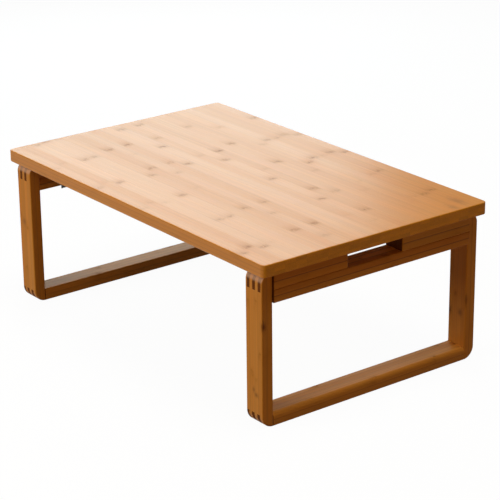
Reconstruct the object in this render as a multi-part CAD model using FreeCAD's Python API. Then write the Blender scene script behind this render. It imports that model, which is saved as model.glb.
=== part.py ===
# A low folding table: a board of laminated bamboo on two hoop leg frames that fold inward
# under it, each on two steel folding brackets. Lengths are in millimetres.
# +X runs along the board, +Y across it and +Z up. The origin is on the floor, under the
# middle of the board. "Right" is the +X end, "front" is the -Y side.
import FreeCAD, Part
import math
import os

Vector = FreeCAD.Vector

# Board
table_height = 265.0
top_length = 700.0
top_width = 440.0
top_thickness = 20.0
top_corner_radius = 8.0
top_arris = 1.5

# Hoop leg frames: their places under the board and their stock
end_inset = 13.5
side_inset = 7.0
post_depth = 39.0
post_width = 20.0
foot_height = 21.0
foot_round = 6.0
foot_arris = 1.5
hoop_top_radius = 15.0
hoop_foot_radius = 20.0
leg_arris = 2.0
finger_count = 6
rest_gap = 0.3

# Lower rail, and the hand slot between it and the board
rail_height = 21.0
rail_shift = 3.8
rail_arris = 1.2
slot_height = 26.0
slot_length = 106.4
slot_round = 2.5
finger_drop = 1.5

# Dowels at the ends of the lower rail
dowel_shares = (0.25, 0.75)
dowel_radius = 4.0
dowel_depth = 14.0
dowel_clearance = 0.05
dowel_end_gap = 0.5

# Folding brackets: common sizes
bracket_setback = 56.5
bracket_width = 30.0
sheet = 1.5
bend_radius = 1.1
pivot_inset = 9.0
pivot_drop = 9.0

# Top plate with its two ears
plate_setback = 1.0
plate_corner_radius = 5.0
ear_radius = 6.5
ear_length = 21.5

# Leg leaf with its two ears, which lie inside the ears of the top plate
leaf_overhang = 4.5
leaf_side_gap = 0.1
cam_flat = 5.0
cam_corner = 3.0
cam_heel = 3.0
toe_height = 4.0
toe_round = 2.0

# Detent leaf spring
spring_thickness = 0.8
spring_gap = 0.2
spring_side_gap = 0.5
spring_tip = 4.0
paddle_length = 16.0
spring_neck_width = 10.0
spring_ramp = 12.0
spring_root_length = 13.0

# Rivets
pivot_rivet_radius = 2.5
pivot_head_radius = 4.5
pivot_head_height = 1.8
spring_rivet_radius = 2.0
spring_rivet_head_radius = 3.5
spring_rivet_head_height = 1.4
rivet_rim = 0.4
snug_clearance = 0.03
running_clearance = 0.06

# Wood screws with domed heads and cross recesses
screw_radius = 1.75
screw_head_radius = 3.3
screw_head_height = 2.2
screw_rim = 0.7
screw_tip = 3.0
screw_hole_clearance = 0.2
pilot_clearance = 0.05
pilot_end_gap = 1.0
recess_width = 0.9
recess_length = 3.8
recess_depth = 1.2
top_screw_length = 15.0
leaf_screw_length = 20.0
leaf_screw_gauge = 12.0
spring_to_head_gap = 0.7
spring_to_screw = 8.0
top_screw_spacing = 16.0
top_screw_margin = 6.0
leaf_screw_height_share = 0.38

# Working values
overrun = 10.0
same_place = 0.001

# Levels and places that follow from the sizes above
underside = table_height - top_thickness
frame_top = underside - rest_gap
rail_top = underside - slot_height
rail_bottom = rail_top - rail_height
post_outer = top_width / 2 - side_inset
post_inner = post_outer - post_width
slot_end = slot_length / 2
finger_width = post_depth / finger_count
frame_outer = top_length / 2 - end_inset
frame_inner = frame_outer - post_depth
rail_inner = frame_inner + rail_shift
rail_outer = frame_outer + rail_shift
rail_lap = post_depth - rail_shift
finger_bottom = rail_top - finger_drop
bracket_middle = post_inner - bracket_setback
spring_bend = spring_tip + paddle_length
spring_root = spring_bend + spring_ramp
spring_end = spring_root + spring_root_length
spring_rivet_point = Vector((spring_root + spring_end) / 2, 0, -sheet)
first_top_screw = spring_bend + spring_to_screw
last_top_screw = first_top_screw + top_screw_spacing
plate_rear = last_top_screw + top_screw_margin
top_screw_reach = spring_neck_width / 2 + spring_to_head_gap + screw_head_radius

# The rail and its blocks are as deep as the posts, but set outward of them, which leaves
# room for the brackets behind. The rounded edge of the foot bar is on the outer side too.
# The finger joints lie the same way round in both frames.
frame_starts = {"right": frame_inner, "left": -frame_outer}
rail_starts = {"right": rail_inner, "left": -rail_outer}
rail_faces = {"right": rail_inner, "left": -rail_inner}
rail_fronts = {"right": rail_outer, "left": -rail_outer}
foot_round_places = {"right": frame_outer, "left": -frame_outer}
foot_arris_places = {"right": frame_inner, "left": -frame_inner}
bracket_turns = {"right": 180.0, "left": 0.0}
edge_signs = {"front": -1, "back": 1}


def block(x_span, y_span, z_span):
    """A box between pairs of planes, given in any order."""
    spans = [sorted(span) for span in (x_span, y_span, z_span)]
    sizes = [high - low for low, high in spans]
    corner = Vector(*[low for low, high in spans])
    return Part.makeBox(*sizes, corner)


def rod(radius, length, start, direction):
    return Part.makeCylinder(radius, length, start, direction)


def pick(shape, **places):
    """The edges of a shape whose ends lie at the given x, y or z."""
    def lies_there(line):
        return all(
            abs(getattr(vertex.Point, axis) - value) < same_place
            for vertex in line.Vertexes
            for axis, value in places.items()
        )
    return [line for line in shape.Edges if lies_there(line)]


def join(first, *others):
    return first.fuse(list(others)).removeSplitter()


def side_prism(outline, y_low, y_high):
    """A prism along Y over a closed outline of edges that lie at y_low."""
    return Part.Face(Part.Wire(outline)).extrude(Vector(0, y_high - y_low, 0))


def lines_between(points):
    return [Part.makeLine(start, end) for start, end in zip(points, points[1:])]


def polygon_prism(places, y_low, y_high):
    """A prism along Y over a polygon of (x, z) places."""
    corners = [Vector(x, y_low, z) for x, z in places]
    return side_prism(lines_between(corners + corners[:1]), y_low, y_high)


def dome_middle(radius, height):
    """The point half way along the arc of a dome, from its rim to its crown."""
    sphere = (radius ** 2 + height ** 2) / (2 * height)
    half_angle = math.asin(min(1.0, radius / sphere)) / 2
    return sphere * math.sin(half_angle), sphere * math.cos(half_angle) - (sphere - height)


def headed_pin(radius, length, head_radius, head_height, rim, tip=0.0):
    """A pin from z = 0 up to its length, with a domed head below z = 0."""
    middle_radius, middle_height = dome_middle(head_radius, head_height - rim)
    crown = Vector(0, 0, -head_height)
    rim_low = Vector(head_radius, 0, -rim)
    dome = Part.Arc(crown, Vector(middle_radius, 0, -rim - middle_height), rim_low).toShape()
    corners = [
        rim_low,
        Vector(head_radius, 0, 0),
        Vector(radius, 0, 0),
        Vector(radius, 0, length - tip),
        Vector(0, 0, length),
        crown,
    ]
    face = Part.Face(Part.Wire([dome] + lines_between(corners)))
    return face.revolve(Vector(0, 0, 0), Vector(0, 0, 1), 360)


# Board


def tabletop():
    half_length = top_length / 2
    half_width = top_width / 2
    board = block((-half_length, half_length), (-half_width, half_width), (underside, table_height))
    corners = [line for x in (-half_length, half_length) for y in (-half_width, half_width)
               for line in pick(board, x=x, y=y)]
    board = board.makeFillet(top_corner_radius, corners)
    board = board.makeFillet(top_arris, pick(board, z=underside) + pick(board, z=table_height))
    return board.cut([pilot for side, edge in bracket_places() for pilot in top_pilots(side, edge)])


# Leg frames


def hoop_envelope(start):
    """The rounded outline of a frame, as deep as a post from the given X on."""
    end = start + post_depth
    envelope = block((start, end), (-post_outer, post_outer), (0, frame_top))
    foot_corners = pick(envelope, y=-post_outer, z=0) + pick(envelope, y=post_outer, z=0)
    envelope = envelope.makeFillet(hoop_foot_radius, foot_corners)
    top_corners = pick(envelope, y=-post_outer, z=frame_top) + pick(envelope, y=post_outer, z=frame_top)
    envelope = envelope.makeFillet(hoop_top_radius, top_corners)
    return envelope.makeFillet(leg_arris, pick(envelope, x=start) + pick(envelope, x=end))


def fingers(start, sign, z_low, z_high):
    """The fingers that a bar passes through a post, every second one from the bar's -X face."""
    return [
        block(
            (start + index * finger_width, start + (index + 1) * finger_width),
            (sign * post_inner, sign * post_outer),
            (z_low, z_high),
        )
        for index in range(0, finger_count, 2)
    ]


def dowel_rods(side, sign, radius, depth):
    """Rods across the joint between the rail's end and a post, reaching the same depth in both."""
    lap_start = max(frame_starts[side], rail_starts[side])
    level = (rail_bottom + rail_top) / 2
    ends = [Vector(lap_start + share * rail_lap, sign * post_inner - depth, level) for share in dowel_shares]
    return [rod(radius, 2 * depth, end, Vector(0, 1, 0)) for end in ends]


def dowel_holes(side, sign):
    return dowel_rods(side, sign, dowel_radius + dowel_clearance, dowel_depth)


def post(side, sign):
    start = frame_starts[side]
    end = start + post_depth
    inner = sign * post_inner
    bar = block((start, end), (inner, sign * post_outer), (0, frame_top))
    bar = bar.makeFillet(leg_arris, pick(bar, x=start, y=inner) + pick(bar, x=end, y=inner))
    bar = bar.common(hoop_envelope(start))
    foot_sockets = fingers(start, sign, 0, foot_height)
    block_sockets = fingers(rail_starts[side], sign, finger_bottom, frame_top)
    return bar.cut(foot_sockets + block_sockets + dowel_holes(side, sign))


def foot_bar(side):
    start = frame_starts[side]
    bar = block((start, start + post_depth), (-post_inner, post_inner), (0, foot_height))
    bar = bar.makeFillet(foot_round, pick(bar, x=foot_round_places[side], z=foot_height))
    bar = bar.makeFillet(foot_arris, pick(bar, x=foot_arris_places[side], z=foot_height))
    ends = [finger for sign in edge_signs.values() for finger in fingers(start, sign, 0, foot_height)]
    return join(bar, *ends).common(hoop_envelope(start))


def lower_rail(side):
    front = rail_fronts[side]
    faces = (rail_faces[side], front)
    bar = block(faces, (-post_inner, post_inner), (rail_bottom, rail_top))
    long_edges = [line for x in faces for z in (rail_bottom, rail_top) for line in pick(bar, x=x, z=z)]
    end_edges = pick(bar, x=front, y=-post_inner) + pick(bar, x=front, y=post_inner)
    bar = bar.makeFillet(rail_arris, long_edges + end_edges)
    holes = [hole for sign in edge_signs.values() for hole in dowel_holes(side, sign)]
    pilots = [pilot for edge in edge_signs for pilot in leaf_pilots(side, edge)]
    return bar.cut(holes + pilots)


def rail_block(side, edge):
    """A block beside the hand slot, with fingers through the post."""
    sign = edge_signs[edge]
    slot_side = sign * slot_end
    post_side = sign * post_inner
    start = rail_starts[side]
    front = rail_fronts[side]
    faces = (rail_faces[side], front)
    bar = block(faces, (slot_side, post_side), (rail_top, frame_top))
    bar = bar.makeFillet(slot_round, [line for x in faces for line in pick(bar, x=x, y=slot_side)])
    long_edges = [line for x in faces for line in pick(bar, x=x, z=rail_top)]
    bar = bar.makeFillet(rail_arris, long_edges + pick(bar, x=front, y=post_side))
    bar = bar.common(hoop_envelope(start))
    outline = hoop_envelope(frame_starts[side])
    ends = [finger.common(outline) for finger in fingers(start, sign, finger_bottom, frame_top)]
    return join(bar, *ends).cut(leaf_pilots(side, edge))


def rail_dowels(side):
    reach = dowel_depth - dowel_end_gap
    return Part.makeCompound([one for sign in edge_signs.values()
                              for one in dowel_rods(side, sign, dowel_radius, reach)])


# Folding brackets. Each piece is made in the bracket's own frame: its origin is on the
# rail's inner face, under the board, +X points to the middle of the table and +Z up.


def bracket_places():
    return [(side, edge) for side in frame_starts for edge in edge_signs]


def placed(shape, side, edge):
    """A bracket piece, turned and moved to its place on a frame."""
    moved = shape.copy()
    moved.rotate(Vector(0, 0, 0), Vector(0, 0, 1), bracket_turns[side])
    moved.translate(Vector(rail_faces[side], edge_signs[edge] * bracket_middle, underside))
    return moved


def top_screw_points():
    return [
        Vector(x, y, -sheet)
        for x in (first_top_screw, last_top_screw)
        for y in (-top_screw_reach, top_screw_reach)
    ]


def leaf_screw_points():
    in_block = -slot_height + leaf_screw_height_share * slot_height
    in_rail = -slot_height - rail_height / 2
    return [
        Vector(sheet, y, z)
        for z in (in_block, in_rail)
        for y in (-leaf_screw_gauge / 2, leaf_screw_gauge / 2)
    ]


def top_pilots(side, edge):
    radius = screw_radius + pilot_clearance
    depth = top_screw_length + pilot_end_gap
    return [placed(rod(radius, depth, point, Vector(0, 0, 1)), side, edge) for point in top_screw_points()]


def leaf_pilots(side, edge):
    radius = screw_radius + pilot_clearance
    depth = leaf_screw_length + pilot_end_gap
    return [placed(rod(radius, depth, point, Vector(-1, 0, 0)), side, edge) for point in leaf_screw_points()]


def pivot_hole(clearance):
    start = Vector(pivot_inset, -bracket_width, -pivot_drop)
    return rod(pivot_rivet_radius + clearance, 2 * bracket_width, start, Vector(0, 1, 0))


def screw_hole(point, direction):
    return through_hole(screw_radius + screw_hole_clearance, point, direction)


def spring_rivet_hole():
    return through_hole(spring_rivet_radius + snug_clearance, spring_rivet_point, Vector(0, 0, 1))


def through_hole(radius, point, direction):
    return rod(radius, 2 * overrun, point - direction * overrun, direction)


def both_sides(low, high):
    return ((-high, -low), (low, high))


def top_plate():
    half = bracket_width / 2
    plate = block((plate_setback, plate_rear), (-half, half), (-sheet, 0))
    rear_corners = pick(plate, x=plate_rear, y=-half) + pick(plate, x=plate_rear, y=half)
    plate = plate.makeFillet(plate_corner_radius, rear_corners)
    ear_start = pivot_inset - ear_radius
    ear_end = ear_start + ear_length
    ears = [top_ear(ear_start, ear_end, low, high) for low, high in both_sides(half - sheet, half)]
    plate = join(plate, *ears)
    plate = plate.makeFillet(bend_radius, pick(plate, y=-half, z=0) + pick(plate, y=half, z=0))
    holes = [screw_hole(point, Vector(0, 0, 1)) for point in top_screw_points()]
    return plate.cut(holes + [spring_rivet_hole(), pivot_hole(snug_clearance)])


def top_ear(ear_start, ear_end, y_low, y_high):
    """An ear round the pivot, with a straight edge that leaves its round end at a tangent."""
    centre = Vector(pivot_inset, y_low, -pivot_drop)
    reach = Vector(ear_end, y_low, -sheet) - centre
    tangent_angle = math.atan2(reach.z, reach.x) - math.acos(ear_radius / reach.Length)
    middle_angle = (tangent_angle - math.pi) / 2

    def on_round(angle):
        return centre + Vector(ear_radius * math.cos(angle), 0, ear_radius * math.sin(angle))

    round_start = on_round(-math.pi)
    round_end = on_round(tangent_angle)
    top_start = Vector(ear_start, y_low, 0)
    top_end = Vector(ear_end, y_low, 0)
    shoulder = Vector(ear_end, y_low, -sheet)
    round_edge = Part.Arc(round_start, on_round(middle_angle), round_end).toShape()
    straight_edges = lines_between([round_end, shoulder, top_end, top_start, round_start])
    return side_prism([round_edge] + straight_edges, y_low, y_high)


def leg_leaf():
    half = bracket_width / 2 - sheet - leaf_side_gap
    top = cam_flat - pivot_drop
    bottom = rail_bottom - underside - leaf_overhang
    leaf = block((0, sheet), (-half, half), (bottom, top))
    cam_face = pivot_inset + cam_flat
    outline = [
        (0, top),
        (cam_face, top),
        (cam_face, -pivot_drop - cam_heel),
        (toe_height, bottom + toe_height),
        (toe_height, bottom),
        (0, bottom),
    ]
    ears = []
    for low, high in both_sides(half - sheet, half):
        ear = polygon_prism(outline, low, high)
        ear = ear.makeFillet(cam_corner, pick(ear, x=cam_face, z=top))
        ear = ear.makeFillet(toe_round, pick(ear, x=toe_height, z=bottom))
        ears.append(ear)
    leaf = join(leaf, *ears)
    leaf = leaf.makeFillet(bend_radius, pick(leaf, x=0, y=-half) + pick(leaf, x=0, y=half))
    holes = [screw_hole(point, Vector(1, 0, 0)) for point in leaf_screw_points()]
    return leaf.cut(holes + [pivot_hole(running_clearance)])


def pivot_rivet():
    """A pin with a head at each end, along the pivot through the four ears."""
    half = bracket_width / 2
    parts = []
    for turn in (-90, 90):
        pin = headed_pin(pivot_rivet_radius, half, pivot_head_radius, pivot_head_height, rivet_rim)
        pin.translate(Vector(0, 0, -half))
        pin.rotate(Vector(0, 0, 0), Vector(1, 0, 0), turn)
        parts.append(pin)
    rivet = join(*parts)
    rivet.translate(Vector(pivot_inset, 0, -pivot_drop))
    return rivet


def detent_spring():
    """A T-shaped leaf: its root lies on the top plate, its paddle just over the cam flats."""
    tip_low = cam_flat - pivot_drop + spring_gap
    tip_high = tip_low + spring_thickness
    root_high = -sheet
    root_low = root_high - spring_thickness
    half_neck = spring_neck_width / 2
    outline = [
        (spring_tip, tip_low),
        (spring_bend, tip_low),
        (spring_root, root_low),
        (spring_end, root_low),
        (spring_end, root_high),
        (spring_root, root_high),
        (spring_bend, tip_high),
        (spring_tip, tip_high),
    ]
    half_paddle = bracket_width / 2 - sheet - spring_side_gap
    paddle = block((spring_tip, spring_bend), (-half_paddle, half_paddle), (tip_low, tip_high))
    spring = join(polygon_prism(outline, -half_neck, half_neck), paddle)
    return spring.cut(spring_rivet_hole())


def spring_rivet():
    """A rivet from the plate's upper face down through the spring, with its head below."""
    rivet = headed_pin(spring_rivet_radius, sheet + spring_thickness, spring_rivet_head_radius,
                       spring_rivet_head_height, rivet_rim)
    rivet.translate(spring_rivet_point - Vector(0, 0, spring_thickness))
    return rivet


def screw(length):
    """A wood screw that points up, its head below z = 0 with a cross recess."""
    body = headed_pin(screw_radius, length, screw_head_radius, screw_head_height, screw_rim, screw_tip)
    half_length = recess_length / 2
    half_width = recess_width / 2
    depth = (recess_depth - screw_head_height, -screw_head_height - overrun)
    bars = [
        block((-half_length, half_length), (-half_width, half_width), depth),
        block((-half_width, half_width), (-half_length, half_length), depth),
    ]
    return body.cut(bars)


def top_screws():
    screws = []
    for point in top_screw_points():
        one = screw(top_screw_length)
        one.translate(point)
        screws.append(one)
    return Part.makeCompound(screws)


def leaf_screws():
    screws = []
    for point in leaf_screw_points():
        one = screw(leaf_screw_length)
        one.rotate(Vector(0, 0, 0), Vector(0, 1, 0), -90)
        one.translate(point)
        screws.append(one)
    return Part.makeCompound(screws)


def build():
    nodes = {"tabletop": tabletop()}
    for side in frame_starts:
        nodes[f"{side}_foot_bar"] = foot_bar(side)
        nodes[f"{side}_lower_rail"] = lower_rail(side)
        nodes[f"{side}_rail_dowels"] = rail_dowels(side)
        for edge, sign in edge_signs.items():
            nodes[f"{side}_{edge}_post"] = post(side, sign)
            nodes[f"{side}_{edge}_rail_block"] = rail_block(side, edge)
    bracket_pieces = {
        "top_plate": top_plate(),
        "leg_leaf": leg_leaf(),
        "pivot_rivet": pivot_rivet(),
        "detent_spring": detent_spring(),
        "spring_rivet": spring_rivet(),
        "top_screws": top_screws(),
        "leaf_screws": leaf_screws(),
    }
    for side, edge in bracket_places():
        for name, piece in bracket_pieces.items():
            nodes[f"{side}_{edge}_{name}"] = placed(piece, side, edge)
    return nodes


os.makedirs("parts", exist_ok=True)
for name, shape in build().items():
    shape.exportStep(f"parts/{name}.step")
    print(name, "solids", len(shape.Solids), "valid", shape.isValid(), "volume", round(shape.Volume, 1))
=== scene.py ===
import math

import bmesh
import bpy
from mathutils import Matrix, Vector


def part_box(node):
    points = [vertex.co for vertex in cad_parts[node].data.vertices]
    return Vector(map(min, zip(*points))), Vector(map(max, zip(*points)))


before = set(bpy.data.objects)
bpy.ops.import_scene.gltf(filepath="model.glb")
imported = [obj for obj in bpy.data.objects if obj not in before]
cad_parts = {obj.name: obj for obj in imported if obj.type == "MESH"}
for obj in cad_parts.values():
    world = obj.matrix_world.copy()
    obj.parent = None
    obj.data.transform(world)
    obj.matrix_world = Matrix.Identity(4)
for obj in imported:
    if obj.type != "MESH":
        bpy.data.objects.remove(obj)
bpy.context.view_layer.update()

# The looks of a low folding table: strip-laminated bamboo under a satin varnish, on hoop leg
# frames with steel folding brackets. Lengths are in metres, and patterns on the wood are
# worked out in millimetres from the pieces' own places.

MM = 1000.0

# Camera, as the photograph was taken
PHOTO_WIDTH = 500
SENSOR_WIDTH = 36.0
FOCAL_PIXELS = 1970.5
CAMERA_PLACE = Vector((2.41572, -1.81704, 1.28206))
CAMERA_YAW = 2.490613
CAMERA_PITCH = 0.363048
CAMERA_ROLL = -0.010581

# Lamps: place, the point it aims at, width, height, watts and colour
LAMPS = {
    "window": ((-1.77, 1.07, 1.01), (0.0, 0.0, 0.26), 1.2, 1.2, 19.6, (0.76, 0.95, 0.97)),
    "front": ((-0.35, -2.15, 1.32), (0.0, 0.0, 0.2), 1.3, 1.2, 34.0, (1.0, 0.97, 0.92)),
    "overhead": ((0.45, 0.2, 2.6), (0.05, 0.0, 0.2), 1.3, 1.3, 38.0, (1.0, 0.985, 0.91)),
    "end_fill": ((2.75, -0.85, 1.1), (0.35, 0.0, 0.2), 0.6, 0.6, 8.6, (1.0, 0.66, 0.20)),
}

# Light from all round, and the white sweep behind the table: the height of a direction, 0
# level and 1 straight up, at which the sweep starts to fade, where it has faded, and to what
WHITE = (1.0, 1.0, 1.0, 1.0)
AMBIENT_COLOUR = (1.0, 0.64, 0.30, 1.0)
AMBIENT = 0.045
SWEEP_TOP = 0.10
CEILING_START = 0.24
CEILING_LEVEL = 0.12

# Floor: how much of it glows where it is seen, and the brown that it throws on the wood
FLOOR_SIZE = 30.0
FLOOR_GLOW = 0.96
FLOOR_BOUNCE = (0.13, 0.075, 0.03, 1.0)


def srgb(red, green, blue):
    """A colour given 0 to 255, as the shader wants it."""
    def linear(level):
        share = level / 255
        return share / 12.92 if share <= 0.04045 else ((share + 0.055) / 1.055) ** 2.4
    return (linear(red), linear(green), linear(blue), 1.0)


# Colours of the bamboo and its marks
GOLDEN = srgb(214, 146, 60)
TOFFEE = srgb(192, 114, 38)
NODE_BROWN = srgb(120, 66, 28)
GLUE_BROWN = srgb(84, 42, 12)
PORE_BROWN = srgb(84, 42, 12)
KNOT_BROWN = srgb(76, 32, 8)
BOARD_END = srgb(210, 136, 28)
FRAME_END = srgb(106, 58, 14)
# Painted sheen: a pale pink laid on the frames' rounded upper corners in place of light shining off them
PAINTED_SHEEN_PALE = srgb(212, 170, 140)

# Noise drawn out along the grain: length along it, width across it, detail and roughness
FIBRES = (90.0, 0.55, 3.0, 0.6)
BANDS = (260.0, 3.5, 2.0, 0.5)
CLOUDS = (90.0, 40.0, 2.0, 0.5)
FLECKS = (14.0, 0.45, 1.0, 0.5)
RAGGED_EDGES = (9.0, 2.4, 3.0, 0.6)
BLOTCHES = (7.0, 5.0, 2.0, 0.6)

# Strips. The margin keeps a piece's outer faces inside its outermost strips, and the shift is
# how far the streaks of one strip can lie from those of the next.
STRIP_MARGIN = 0.05
STRIP_SHIFT = 400.0

# Nodes, the culm's joints: their spacing, how far one can lie off it, and how far it can bow,
# lean and fray. The nodes of one piece lie off those of the next.
NODE_SPACING = 125.0
NODE_JITTER = 42.0
NODE_BOW = 26.0
NODE_LEAN = 9.0
NODE_FRAY = 9.0
PIECE_SHIFT = 37.0

# Marks at a node: half lengths, and where they lie from it. They fade towards the strip's
# sides, in a half width that is a share of the strip's width.
SMUDGE_HALF_LENGTH = 4.8
SCAR_HALF_LENGTH = 1.4
SCAR_PLACE = 1.5
HALO_HALF_LENGTH = 13.0
HALO_PLACE = -5.0
MARK_HALF_WIDTH = 0.38

# How strongly each mark darkens a piece that has its marks at full strength
FLECK_DEPTH = 0.16
HALO_DEPTH = 0.14
SMUDGE_DEPTH = 0.66
SCAR_DEPTH = 0.14

# Seams along the culm's outer wall, each with its own strength
SEAM_DEPTH = 0.12
SEAM_SPREAD = 0.18

# Glue lines: how thin and how pale they are where the strips don't differ, and how strong on
# sides and ends where they do
GLUE_HALF_WIDTH = 0.6
THINNEST_GLUE = 0.3
PALEST_GLUE = 0.04
SIDE_GLUE_DEPTH = 0.6
END_GLUE_DEPTH = 0.5

# Pores of the end grain, twice as strong beside the outer wall
PORES_PER_MM = 1.05
PORE_LENGTH = 50.0
PORE_DEPTH = 0.3

# How fast a knot fades outwards, and how much its ragged side changes that
KNOT_SHARPNESS = 1.4
KNOT_RAGGEDNESS = 4.0

# How far each pattern swings the brightness of the sides and of the ends, and the hue of the
# sides between golden, 0, and toffee, 1
STRIP_SWING = 0.30
FIBRE_SWING = 0.30
BAND_SWING = 0.26
CLOUD_SWING = 0.16
END_STRIP_SWING = 0.2
END_CLOUD_SWING = 0.3
MIDDLE_HUE = 0.45
STRIP_HUE_SWING = 0.7
CLOUD_HUE_SWING = 0.5

# Where a pattern starts to show and where it is full
FLECK_RISE = (0.60, 0.74)
BLOTCH_RISE = (0.30, 0.62)
NODE_STRENGTH_RISE = (0.25, 0.95)
SEAM_RISE = (0.55, 1.0)
PORE_RISE = (0.12, 0.42)

# How far a face has turned towards an axis, 0 to 1, where its look changes
LOOKING_ALONG = (0.4, 0.8)
END_GRAIN_TURN = (0.55, 0.85)
# The painted sheen shows on faces turned this far up and to the front or back
PAINTED_SHEEN_TURN = (0.02, 0.34)

# Steps that keep the random numbers of layers, nodes and strips apart
LAYER_STEP = 31.0
NODE_STEP = 11.0

# Finish of the board and of the leg frames, which are duller and a little darker, with a painted
# sheen, a pale pink, on the frames' rounded upper corners
BOARD_FINISH = {
    "tone": 1.0,
    "end_grain": BOARD_END,
    "sheen_share": 0.0,
    "roughness": 0.37,
    "coat": 0.12,
    "refraction": 1.24,
}
FRAME_FINISH = {
    "tone": 0.98,
    "end_grain": FRAME_END,
    "sheen_share": 0.6,
    "roughness": 0.47,
    "coat": 0.0,
    "refraction": 1.20,
}
COAT_ROUGHNESS = 0.24
GRAIN_BUMP = 0.2
GRAIN_BUMP_DEPTH = 0.0004

# Wooden pieces of a leg frame: the axis of the fibres, the number of strips along each of the
# other two axes, how much the strips differ and how strong their marks are
FRAME_LAYOUTS = {
    "front_post": ("z", (4, 2), 0.28, 0.5),
    "back_post": ("z", (4, 2), 0.28, 0.5),
    "foot_bar": ("y", (4, 2), 0.5, 0.7),
    "lower_rail": ("y", (3, 2), 1.0, 0.8),
    "front_rail_block": ("y", (3, 2), 1.0, 0.8),
    "back_rail_block": ("y", (3, 2), 1.0, 0.8),
}
BOARD_LAYOUT = ("x", (22, 3), 0.12, 0.84)

# Knots that stand out on some pieces: place, reach along x, y and z, and strength
KNOTS = {
    "tabletop": (
        ((318.0, 186.0, 265.0), (22.0, 9.0, 5.0), 0.34),
        ((335.0, 160.0, 265.0), (12.0, 7.0, 5.0), 0.26),
    ),
    "right_front_post": (
        ((337.0, -210.0, 164.0), (4.4, 4.4, 8.0), 0.8),
        ((316.0, -213.0, 58.0), (3.6, 2.0, 5.0), 0.45),
        ((322.0, -213.0, 51.0), (5.0, 2.0, 4.0), 0.5),
    ),
    "right_back_post": (
        ((324.0, 193.0, 78.0), (6.0, 3.0, 8.0), 0.5),
        ((300.0, 193.0, 77.0), (4.0, 3.0, 9.0), 0.7),
        ((336.5, 194.0, 102.0), (2.4, 3.0, 12.0), 0.6),
    ),
    "left_front_post": (
        ((-322.0, -213.0, 142.0), (7.0, 2.0, 7.0), 0.4),
    ),
}


class Value:
    """A shader socket that sums and products can be written with."""

    def __init__(self, paint, socket):
        self.paint = paint
        self.socket = socket

    def math(self, operation, *others):
        inputs = dict(enumerate((self,) + others))
        return self.paint.node("ShaderNodeMath", {"operation": operation}, inputs)

    def __add__(self, other):
        return self.math("ADD", other)

    def __radd__(self, other):
        return self.math("ADD", other)

    def __sub__(self, other):
        return self.math("SUBTRACT", other)

    def __rsub__(self, other):
        return self.math("MULTIPLY_ADD", -1.0, other)

    def __mul__(self, other):
        return self.math("MULTIPLY", other)

    def __rmul__(self, other):
        return self.math("MULTIPLY", other)

    def __truediv__(self, other):
        return self.math("DIVIDE", other)

    def floor(self):
        return self.math("FLOOR")

    def size(self):
        return self.math("ABSOLUTE")

    def exponent(self):
        return self.math("EXPONENT")

    def larger(self, other):
        return self.math("MAXIMUM", other)

    def smaller(self, other):
        return self.math("MINIMUM", other)

    def bell(self, half_width):
        """1 where this is 0, falling smoothly to nothing past the half width."""
        share = self / half_width
        return (share * share * -1.0).exponent()

    def rise(self, start, end):
        """0 below start, 1 above end and smooth between."""
        settings = {"interpolation_type": "SMOOTHSTEP"}
        inputs = {"Value": self, "From Min": start, "From Max": end}
        return self.paint.node("ShaderNodeMapRange", settings, inputs)


class Paint:
    """A material whose nodes are written as expressions."""

    def __init__(self, name=None, tree=None):
        if tree is None:
            self.material = bpy.data.materials.new(name)
            self.material.use_nodes = True
            tree = self.material.node_tree
        self.tree = tree
        self.tree.nodes.clear()

    def node(self, kind, settings, inputs, output=0):
        """Adds a node, sets it up, fills its sockets and gives one of its outputs."""
        made = self.tree.nodes.new(kind)
        for name, value in settings.items():
            setattr(made, name, value)
        for name, value in inputs.items():
            if isinstance(value, Value):
                self.tree.links.new(value.socket, made.inputs[name])
            else:
                made.inputs[name].default_value = value
        return Value(self, made.outputs[output])

    def place(self):
        """The point's place in the piece's own frame, in millimetres."""
        return self.scaled(self.node("ShaderNodeTexCoord", {}, {}, "Object"), MM)

    def facing(self):
        return self.node("ShaderNodeTexCoord", {}, {}, "Normal")

    def parts(self, vector):
        split = self.tree.nodes.new("ShaderNodeSeparateXYZ")
        self.tree.links.new(vector.socket, split.inputs[0])
        return [Value(self, output) for output in split.outputs]

    def vector(self, x, y, z):
        return self.node("ShaderNodeCombineXYZ", {}, {0: x, 1: y, 2: z})

    def noise(self, vector, scale=1.0, detail=2.0, roughness=0.5, distortion=0.0):
        inputs = {"Vector": vector, "Scale": scale, "Detail": detail, "Roughness": roughness,
                  "Distortion": distortion}
        return self.node("ShaderNodeTexNoise", {}, inputs)

    def dice(self, x, y, z):
        """Three random numbers for each whole x, y and z."""
        settings = {"noise_dimensions": "3D"}
        colour = self.node("ShaderNodeTexWhiteNoise", settings, {"Vector": self.vector(x, y, z)}, "Color")
        return self.parts(colour)

    def mix(self, share, first, second):
        settings = {"data_type": "RGBA", "blend_type": "MIX", "clamp_factor": True}
        return self.node("ShaderNodeMix", settings, {0: share, 6: first, 7: second}, 2)

    def scaled(self, vector, amount):
        return self.node("ShaderNodeVectorMath", {"operation": "SCALE"}, {0: vector, "Scale": amount})

    def bump(self, height, strength, distance):
        inputs = {"Height": height, "Strength": strength, "Distance": distance}
        return self.node("ShaderNodeBump", {}, inputs)

    def surface(self, **sockets):
        inputs = {name.replace("_", " "): value for name, value in sockets.items()}
        self.finish(self.node("ShaderNodeBsdfPrincipled", {}, inputs))
        return self.material

    def seen(self):
        """1 where the camera sees it, straight, in a sheen or through glass, else 0."""
        camera, glossy, through_glass = [
            self.node("ShaderNodeLightPath", {}, {}, f"Is {kind} Ray")
            for kind in ("Camera", "Glossy", "Transmission")
        ]
        return camera.larger(glossy).larger(through_glass)

    def finish(self, shader, kind="ShaderNodeOutputMaterial"):
        output = self.tree.nodes.new(kind)
        self.tree.links.new(shader.socket, output.inputs["Surface"])


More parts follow.
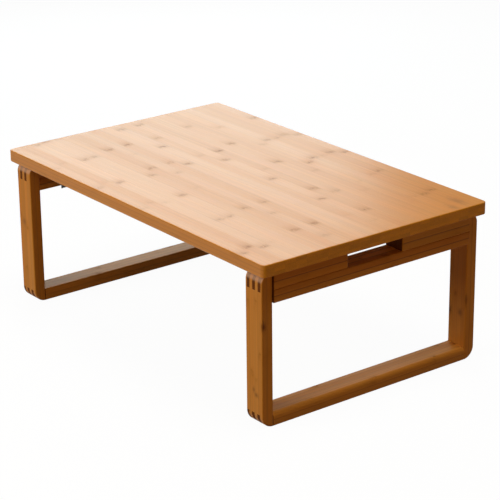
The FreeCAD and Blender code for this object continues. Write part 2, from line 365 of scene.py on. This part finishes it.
class Bamboo(Paint):
    """Strip-laminated bamboo for one piece. Grain is the axis that the fibres run along, and
    strips says how many strips lie side by side along each of the other two axes. Contrast
    says how much the strips differ, and marks how strong their marks are."""

    def __init__(self, name, piece, layout, seed):
        super().__init__(name)
        self.piece = piece
        self.seed = seed
        self.grain, strips, self.contrast, self.marks = layout
        self.across, self.through = [axis for axis in "xyz" if axis != self.grain]
        self.at = dict(zip("xyz", self.parts(self.place())))
        self.normal = dict(zip("xyz", self.parts(self.facing())))
        self.index_across, self.inside_across, self.side_across = self.lattice(self.across, strips[0])
        self.index_through, self.inside_through, self.side_through = self.lattice(self.through, strips[1])
        chances = self.dice(self.index_across, self.index_through, seed)
        self.strip_offset, self.strip_tone, self.strip_hue = chances
        self.fibre = self.streaks(FIBRES) - 0.5
        self.cloud = self.streaks(CLOUDS) - 0.5
        self.ragged = self.streaks(RAGGED_EDGES) - 0.5

    def lattice(self, axis, count):
        """Which strip the point is in along an axis, how far through it, 0 to 1, and how many
        millimetres from its nearer side."""
        low, high = [corner["xyz".index(axis)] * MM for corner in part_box(self.piece)]
        width = (high - low + 2 * STRIP_MARGIN) / count
        cell = (self.at[axis] - (low - STRIP_MARGIN)) / width
        index = cell.floor()
        inside = cell - index
        from_side = (0.5 - (inside - 0.5).size()) * width
        return index, inside, from_side

    def streaks(self, pattern):
        """Noise drawn out along the grain, each strip with its own."""
        length, width, detail, roughness = pattern
        along = (self.at[self.grain] + self.strip_offset * STRIP_SHIFT) / length
        spot = self.vector(along, self.at[self.across] / width, self.at[self.through] / width)
        return self.noise(spot, 1.0, detail, roughness)

    def node_marks(self):
        """A soft brown smudge at each node, a thin scar in it and a wide faint halo."""
        jitter = (self.strip_offset - 0.5) * (2 * NODE_JITTER)
        phase = (self.at[self.grain] + jitter + PIECE_SHIFT * self.seed) / NODE_SPACING
        index = phase.floor()
        strip = self.index_across + self.index_through * LAYER_STEP
        chance, bow, lean = self.dice(index, strip, self.seed + NODE_STEP)
        middle = self.inside_across - 0.5
        bend = middle * middle * (bow - 0.5) * NODE_BOW + middle * (lean - 0.5) * NODE_LEAN
        from_node = (phase - index - 0.5) * NODE_SPACING + self.ragged * NODE_FRAY + bend
        strength = chance.rise(*NODE_STRENGTH_RISE)
        patch = self.streaks(BLOTCHES).rise(*BLOTCH_RISE) * strength * middle.bell(MARK_HALF_WIDTH)
        smudge = from_node.bell(SMUDGE_HALF_LENGTH) * patch
        scar = (from_node - SCAR_PLACE).bell(SCAR_HALF_LENGTH) * patch
        halo = (from_node - HALO_PLACE).bell(HALO_HALF_LENGTH) * strength
        return smudge, scar, halo

    def long_grain(self, tone, smudge, scar, halo):
        """The colour along the fibres, with each strip a little different."""
        hue = (self.strip_hue - 0.5) * (STRIP_HUE_SWING * self.contrast) + self.cloud * CLOUD_HUE_SWING
        colour = self.mix(hue + MIDDLE_HUE, GOLDEN, TOFFEE)
        band = self.streaks(BANDS) - 0.5
        level = (self.strip_tone - 0.5) * (STRIP_SWING * self.contrast) + self.fibre * FIBRE_SWING
        level = level + band * BAND_SWING + self.cloud * CLOUD_SWING + 1.0
        colour = self.scaled(colour, level * tone)
        fleck = self.streaks(FLECKS).rise(*FLECK_RISE)
        darker = ((fleck, FLECK_DEPTH), (halo, HALO_DEPTH), (smudge, SMUDGE_DEPTH), (scar, SCAR_DEPTH))
        for mark, depth in darker:
            colour = self.mix(mark * (depth * self.marks), colour, NODE_BROWN)
        return colour

    def knots(self, colour):
        """Knots darken fast towards their middle and have ragged sides."""
        for centre, reach, depth in KNOTS.get(self.piece, ()):
            shares = [(self.at[axis] - middle) / size for axis, middle, size in zip("xyz", centre, reach)]
            distance = shares[0] * shares[0] + shares[1] * shares[1] + shares[2] * shares[2]
            steepness = self.ragged * -KNOT_RAGGEDNESS - KNOT_SHARPNESS
            knot = (distance * steepness).exponent().larger(0.0).smaller(1.0)
            colour = self.mix(knot * depth, colour, KNOT_BROWN)
        return colour

    def off_face(self, axis):
        """1 on the faces that run along an axis, and 0 on those that look along it."""
        return 1.0 - self.normal[axis].size().rise(*LOOKING_ALONG)

    def seams(self, colour):
        """The culm's outer wall, a darker seam along one side of each strip's narrow face."""
        seam = self.inside_through.rise(*SEAM_RISE) * self.off_face(self.through)
        return self.mix(seam * (SEAM_DEPTH + self.strip_tone * SEAM_SPREAD), colour, NODE_BROWN)

    def glue_lines(self):
        """A glue line shows on a face only where it runs out of the wood there."""
        reach = GLUE_HALF_WIDTH * (THINNEST_GLUE + (1 - THINNEST_GLUE) * self.contrast)
        across = self.side_across.bell(reach) * self.off_face(self.across)
        through = self.side_through.bell(reach) * self.off_face(self.through)
        return across.larger(through)

    def glued(self, colour, glue, depth):
        return self.mix(glue * (PALEST_GLUE + depth * self.contrast), colour, GLUE_BROWN)

    def pores(self):
        """Dots of vascular bundles in the end grain."""
        spot = self.vector(self.at[self.across], self.at[self.through], self.at[self.grain] / PORE_LENGTH)
        inputs = {"Vector": spot, "Scale": PORES_PER_MM}
        from_pore = self.node("ShaderNodeTexVoronoi", {"feature": "F1"}, inputs, "Distance")
        return 1.0 - from_pore.rise(*PORE_RISE)

    def end_grain(self, ground, pores):
        """The colour across the fibres, with the pores darker towards the outer wall."""
        colour = self.mix(pores * (PORE_DEPTH + self.inside_through * PORE_DEPTH), ground, PORE_BROWN)
        level = (self.strip_tone - 0.5) * END_STRIP_SWING + self.cloud * END_CLOUD_SWING + 1.0
        return self.scaled(colour, level)

    def painted_sheen(self, colour, sheen_share):
        """Upper corners that turn from a side to the top get a painted sheen, mixed towards a pale pink.
        """
        corner = (self.normal["y"].size() * self.normal["z"]).rise(*PAINTED_SHEEN_TURN)
        return self.mix(corner * sheen_share, colour, PAINTED_SHEEN_PALE)

    def varnished(self, tone, end_grain, sheen_share, roughness, coat, refraction):
        """The whole material: sides and ends in their own colours under a thin varnish, and a painted
        sheen on the upper corners.
        """
        smudge, scar, halo = self.node_marks()
        glue = self.glue_lines()
        pores = self.pores()
        on_end = self.normal[self.grain].size().rise(*END_GRAIN_TURN)
        sides = self.seams(self.knots(self.long_grain(tone, smudge, scar, halo)))
        sides = self.glued(sides, glue, SIDE_GLUE_DEPTH)
        ends = self.glued(self.end_grain(end_grain, pores), glue, END_GLUE_DEPTH)
        # Painted sheen: upper corners turned towards the top are mixed towards a pale pink
        colour = self.painted_sheen(self.mix(on_end, sides, ends), sheen_share)
        height = self.fibre * 0.5 - glue * 1.2 + scar * 0.5 - on_end * pores * 0.8
        unevenness = self.fibre * 0.12 + (self.strip_hue - 0.5) * 0.06 + smudge * 0.16 + halo * 0.05
        return self.surface(
            Base_Color=colour,
            Roughness=unevenness + on_end * 0.26 + roughness,
            Normal=self.bump(height, GRAIN_BUMP, GRAIN_BUMP_DEPTH),
            Coat_Weight=coat,
            Coat_Roughness=COAT_ROUGHNESS,
            IOR=refraction,
        )


def dowel_wood():
    """Plain beech, its fibres along the dowel."""
    paint = Paint("dowel_beech")
    x, y, z = paint.parts(paint.place())
    fibre = paint.noise(paint.vector(x / 0.6, y / 30.0, z / 0.6), 1.0, 3.0, 0.6)
    return paint.surface(
        Base_Color=paint.mix(fibre, srgb(226, 186, 136), srgb(196, 150, 98)),
        Roughness=0.6 + (fibre - 0.5) * 0.1,
        Normal=paint.bump(fibre, 0.2, 0.0003),
    )


def black_steel():
    """Pressed sheet with a thin black coat, a little uneven and rubbed."""
    paint = Paint("black_coated_steel")
    place = paint.place()
    mottle = paint.noise(place, 0.35, 4.0, 0.6)
    grit = paint.noise(place, 4.0, 2.0, 0.5)
    rubbed = paint.noise(place, 0.12, 5.0, 0.7, 1.5).rise(0.62, 0.74)
    coat = paint.mix(mottle, srgb(26, 25, 25), srgb(44, 42, 40))
    return paint.surface(
        Base_Color=paint.mix(rubbed * 0.5, coat, srgb(96, 92, 88)),
        Metallic=0.55,
        Roughness=0.36 + mottle * 0.2 + grit * 0.06 - rubbed * 0.1,
        Normal=paint.bump(grit, 0.12, 0.0002),
        Coat_Weight=0.2,
        Coat_Roughness=0.3,
    )


def plated_steel(name, light, dark, roughness):
    """Bright or blued steel with faint brushing and dull spots."""
    paint = Paint(name)
    place = paint.place()
    x, y, z = paint.parts(place)
    brushed = paint.noise(paint.vector(x / 3.0, y / 0.15, z / 0.15), 1.0, 2.0, 0.5)
    dull = paint.noise(place, 0.5, 3.0, 0.6)
    return paint.surface(
        Base_Color=paint.mix(dull * 0.7 + brushed * 0.3, light, dark),
        Metallic=1.0,
        Roughness=roughness + (brushed - 0.5) * 0.14 + (dull - 0.5) * 0.2,
        Normal=paint.bump(brushed, 0.06, 0.0001),
    )


def dress(node, material):
    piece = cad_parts[node]
    piece.data.materials.clear()
    piece.data.materials.append(material)


def dress_board():
    dress("tabletop", Bamboo("bamboo_board", "tabletop", BOARD_LAYOUT, 1.0).varnished(**BOARD_FINISH))


def dress_frames():
    """Every wooden piece of the two leg frames has its own strips."""
    beech = dowel_wood()
    seed = 2.0
    for side in ("right", "left"):
        for name, layout in FRAME_LAYOUTS.items():
            node = f"{side}_{name}"
            dress(node, Bamboo(f"bamboo_{node}", node, layout, seed).varnished(**FRAME_FINISH))
            seed += 1.0
        dress(f"{side}_rail_dowels", beech)


def dress_brackets():
    sheet_steel = black_steel()
    rivet_steel = plated_steel("zinc_rivet", srgb(198, 194, 184), srgb(150, 147, 138), 0.34)
    spring_steel = plated_steel("blued_spring", srgb(92, 96, 108), srgb(58, 58, 66), 0.30)
    screw_steel = plated_steel("zinc_screw", srgb(206, 200, 182), srgb(160, 152, 132), 0.30)
    finishes = {
        "top_plate": sheet_steel,
        "leg_leaf": sheet_steel,
        "pivot_rivet": rivet_steel,
        "detent_spring": spring_steel,
        "spring_rivet": rivet_steel,
        "top_screws": screw_steel,
        "leaf_screws": screw_steel,
    }
    for side in ("right", "left"):
        for edge in ("front", "back"):
            for name, finish in finishes.items():
                dress(f"{side}_{edge}_{name}", finish)


def photo_camera():
    forward = Vector((
        math.cos(CAMERA_PITCH) * math.cos(CAMERA_YAW),
        math.cos(CAMERA_PITCH) * math.sin(CAMERA_YAW),
        -math.sin(CAMERA_PITCH),
    ))
    level_right = forward.cross(Vector((0, 0, 1))).normalized()
    level_up = level_right.cross(forward)
    right = math.cos(CAMERA_ROLL) * level_right + math.sin(CAMERA_ROLL) * level_up
    up = right.cross(forward)
    data = bpy.data.cameras.new("photo_camera")
    data.sensor_width = SENSOR_WIDTH
    data.lens = FOCAL_PIXELS / PHOTO_WIDTH * SENSOR_WIDTH
    camera = bpy.data.objects.new("photo_camera", data)
    turn = Matrix((right, up, -forward)).transposed().to_4x4()
    camera.matrix_world = Matrix.Translation(CAMERA_PLACE) @ turn
    bpy.context.scene.collection.objects.link(camera)
    bpy.context.scene.camera = camera


def lamp(name, place, target, width, height, power, colour):
    data = bpy.data.lights.new(name, "AREA")
    data.shape = "RECTANGLE"
    data.size = width
    data.size_y = height
    data.energy = power
    data.color = colour
    light = bpy.data.objects.new(name, data)
    place = Vector(place)
    turn = (Vector(target) - place).to_track_quat("-Z", "Y").to_matrix().to_4x4()
    light.matrix_world = Matrix.Translation(place) @ turn
    bpy.context.scene.collection.objects.link(light)


def white_world():
    """Soft light from all round, and a white sweep that fades overhead where it is seen."""
    world = bpy.data.worlds.new("studio_world")
    world.use_nodes = True
    sky = Paint(tree=world.node_tree)
    direction = sky.node("ShaderNodeTexCoord", {}, {}, "Generated")
    overhead = sky.parts(direction)[2].rise(SWEEP_TOP, CEILING_START)
    seen_strength = 1.0 - overhead * (1.0 - CEILING_LEVEL)
    around = sky.node("ShaderNodeBackground", {}, {"Color": AMBIENT_COLOUR, "Strength": AMBIENT})
    behind = sky.node("ShaderNodeBackground", {}, {"Color": WHITE, "Strength": seen_strength})
    shader = sky.node("ShaderNodeMixShader", {}, {0: sky.seen(), 1: around, 2: behind})
    sky.finish(shader, "ShaderNodeOutputWorld")
    bpy.context.scene.world = world


def pale_floor():
    """A white floor that keeps a soft shadow under the table."""
    paint = Paint("pale_floor")
    seen = paint.seen()
    colour = paint.mix(seen, FLOOR_BOUNCE, WHITE)
    matte = paint.node("ShaderNodeBsdfDiffuse", {}, {"Color": colour})
    glow = paint.node("ShaderNodeEmission", {}, {"Color": WHITE, "Strength": 1.0})
    paint.finish(paint.node("ShaderNodeMixShader", {}, {0: seen * FLOOR_GLOW, 1: matte, 2: glow}))
    sheet = bmesh.new()
    bmesh.ops.create_grid(sheet, x_segments=1, y_segments=1, size=FLOOR_SIZE / 2)
    mesh = bpy.data.meshes.new("pale_floor")
    sheet.to_mesh(mesh)
    sheet.free()
    mesh.materials.append(paint.material)
    floor = bpy.data.objects.new("pale_floor", mesh)
    bpy.context.scene.collection.objects.link(floor)


photo_camera()
dress_board()
dress_frames()
dress_brackets()
for name, settings in LAMPS.items():
    lamp(name, *settings)
white_world()
pale_floor()
bpy.context.scene.view_settings.view_transform = "Standard"
